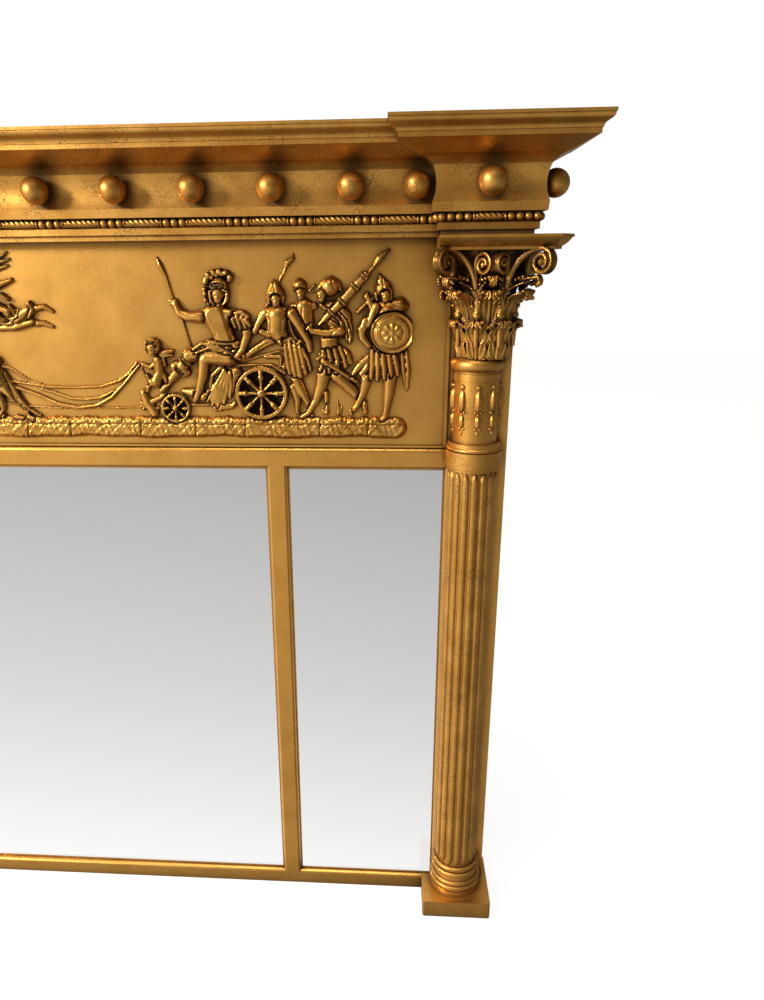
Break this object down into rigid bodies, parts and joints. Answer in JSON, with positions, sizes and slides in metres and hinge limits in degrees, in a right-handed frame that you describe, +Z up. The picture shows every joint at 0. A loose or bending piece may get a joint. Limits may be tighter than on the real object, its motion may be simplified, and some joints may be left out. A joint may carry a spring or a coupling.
{
  "type": "triptych overmantel mirror",
  "caption": "Wide gilt overmantel mirror with a large centre plate between narrow side plates, reeded Corinthian columns, a frieze in relief and a cornice set with balls.",
  "frame": {"origin": "middle of the bounding box's bottom face, on the shelf that the mirror stands on", "axes": "+X along the mirror's width, to the right as seen from the front; +Y back towards the wall; +Z up"},
  "size_m": [1.3132, 0.1248, 0.8845],
  "materials": {
    "gilt_carcass": "gold leaf over gesso on softwood, toned and rubbed on the show faces",
    "gilt_trim": "gold leaf over gesso, toned in the quirks",
    "gilt_column": "gold leaf over gesso on turned and reeded wood, dark toning between the reeds",
    "gilt_capital": "gilded composition casting with dark toning in the hollows",
    "gilt_cornice": "speckled and worn gold leaf over gesso",
    "gilt_relief": "gilded composition relief, pale on the high points and dark in the hollows",
    "mirror_glass": "silvered float glass",
    "bare_softwood": "bare sawn softwood and thin board",
    "brass_hangers": "plated pressed strap and wire ring",
    "bright_steel": "countersunk slotted screws"
  },
  "bodies": {
    "mirror": {"attendants": "gilt_relief", "backboard": "bare_softwood", "backboard_screws": "bright_steel", "bead_course": "gilt_cornice", "bottom_rail": "gilt_carcass", "centre_architrave": "gilt_cornice", "centre_cap_moulding": "gilt_cornice", "centre_cove": "gilt_cornice", "centre_mirror_plate": "mirror_glass", "centre_sight_moulding": "gilt_trim", "chariot_body": "gilt_relief", "chariot_riders": "gilt_relief", "chariot_wheels": "gilt_relief", "cornice_balls": "gilt_cornice", "frieze_board": "gilt_carcass", "frieze_rail": "gilt_carcass", "glazing_blocks": "bare_softwood", "hanger_screws": "bright_steel", "horse_team": "gilt_relief", "leading_figures": "gilt_relief", "left_abacus": "gilt_column", "left_acanthus_leaves": "gilt_capital", "left_capital_bell": "gilt_capital", "left_column_base": "gilt_column", "left_column_neck": "gilt_column", "left_column_shaft": "gilt_column", "left_corner_architrave": "gilt_cornice", "left_corner_cap_moulding": "gilt_cornice", "left_corner_cove": "gilt_cornice", "left_hanger_strap": "brass_hangers", "left_husk_drops": "gilt_capital", "left_mirror_plate": "mirror_glass", "left_muntin": "gilt_carcass", "left_plinth": "gilt_trim", "left_sight_moulding": "gilt_trim", "left_stile": "gilt_carcass", "left_volutes": "gilt_capital", "relief_ground_strip": "gilt_relief", "right_abacus": "gilt_column", "right_acanthus_leaves": "gilt_capital", "right_capital_bell": "gilt_capital", "right_column_base": "gilt_column", "right_column_neck": "gilt_column", "right_column_shaft": "gilt_column", "right_corner_architrave": "gilt_cornice", "right_corner_cap_moulding": "gilt_cornice", "right_corner_cove": "gilt_cornice", "right_hanger_strap": "brass_hangers", "right_husk_drops": "gilt_capital", "right_mirror_plate": "mirror_glass", "right_muntin": "gilt_carcass", "right_plinth": "gilt_trim", "right_sight_moulding": "gilt_trim", "right_stile": "gilt_carcass", "right_volutes": "gilt_capital", "top_rail": "gilt_carcass"},
    "left_ring": {"left_hanger_ring": "brass_hangers"},
    "right_ring": {"right_hanger_ring": "brass_hangers"}
  },
  "joints": [
    {"name": "left_ring_swing", "type": "hinge", "parent": "mirror", "child": "left_ring", "pos_m": [-0.5656, 0.059, 0.705], "axis": [1, 0, 0], "range_deg": [0, 180]},
    {"name": "right_ring_swing", "type": "hinge", "parent": "mirror", "child": "right_ring", "pos_m": [0.5656, 0.059, 0.705], "axis": [1, 0, 0], "range_deg": [0, 180]}
  ]
}
